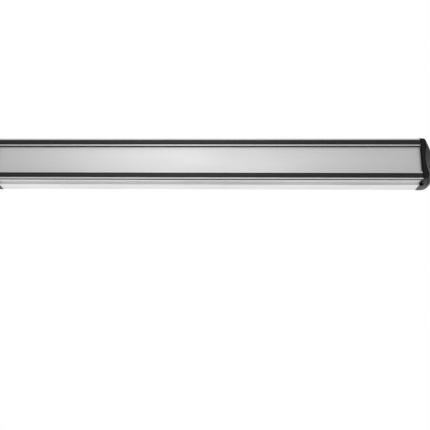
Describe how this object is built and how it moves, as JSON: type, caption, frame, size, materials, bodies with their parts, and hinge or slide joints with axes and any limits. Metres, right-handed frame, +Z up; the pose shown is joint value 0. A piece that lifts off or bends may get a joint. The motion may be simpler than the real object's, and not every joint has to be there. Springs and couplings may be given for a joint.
{
  "type": "knife magnetic rack",
  "caption": "Wall-mounted magnetic knife rack: extruded aluminium profile with black steel pole rails, brushed face panel, moulded end caps and keyhole hangers.",
  "frame": {"origin": "middle of the wall plane, at mid length and mid height", "axes": "+X along the rack's length, +Y into the wall, +Z up; the working faces look towards -Y"},
  "size_m": [0.379, 0.0198, 0.0428],
  "materials": {
    "extruded_aluminium": "satin",
    "brushed_face": "satin",
    "black_steel": "satin",
    "ferrite": "matte",
    "black_plastic": "gloss",
    "zinc_plate": "satin"
  },
  "bodies": {
    "rack": {"aluminium_profile": "extruded_aluminium", "face_panel": "brushed_face", "upper_pole_rail": "black_steel", "lower_pole_rail": "black_steel", "magnet_1": "ferrite", "magnet_2": "ferrite", "magnet_3": "ferrite", "magnet_4": "ferrite", "magnet_5": "ferrite", "magnet_6": "ferrite", "magnet_7": "ferrite", "magnet_8": "ferrite", "magnet_9": "ferrite", "magnet_10": "ferrite", "magnet_11": "ferrite", "magnet_12": "ferrite"},
    "left_cap": {"left_end_cap": "black_plastic"},
    "right_cap": {"right_end_cap": "black_plastic"},
    "left_hanger": {"left_hanger": "zinc_plate"},
    "right_hanger": {"right_hanger": "zinc_plate"}
  },
  "joints": [
    {"name": "left_cap_pull", "type": "slide", "parent": "rack", "child": "left_cap", "axis": [-1, 0, 0], "range_m": [0, 0.03]},
    {"name": "right_cap_pull", "type": "slide", "parent": "rack", "child": "right_cap", "axis": [1, 0, 0], "range_m": [0, 0.03]},
    {"name": "left_hanger_slide", "type": "slide", "parent": "rack", "child": "left_hanger", "axis": [1, 0, 0], "range_m": [-0.015, 0.11]},
    {"name": "right_hanger_slide", "type": "slide", "parent": "rack", "child": "right_hanger", "axis": [-1, 0, 0], "range_m": [-0.015, 0.11]}
  ]
}
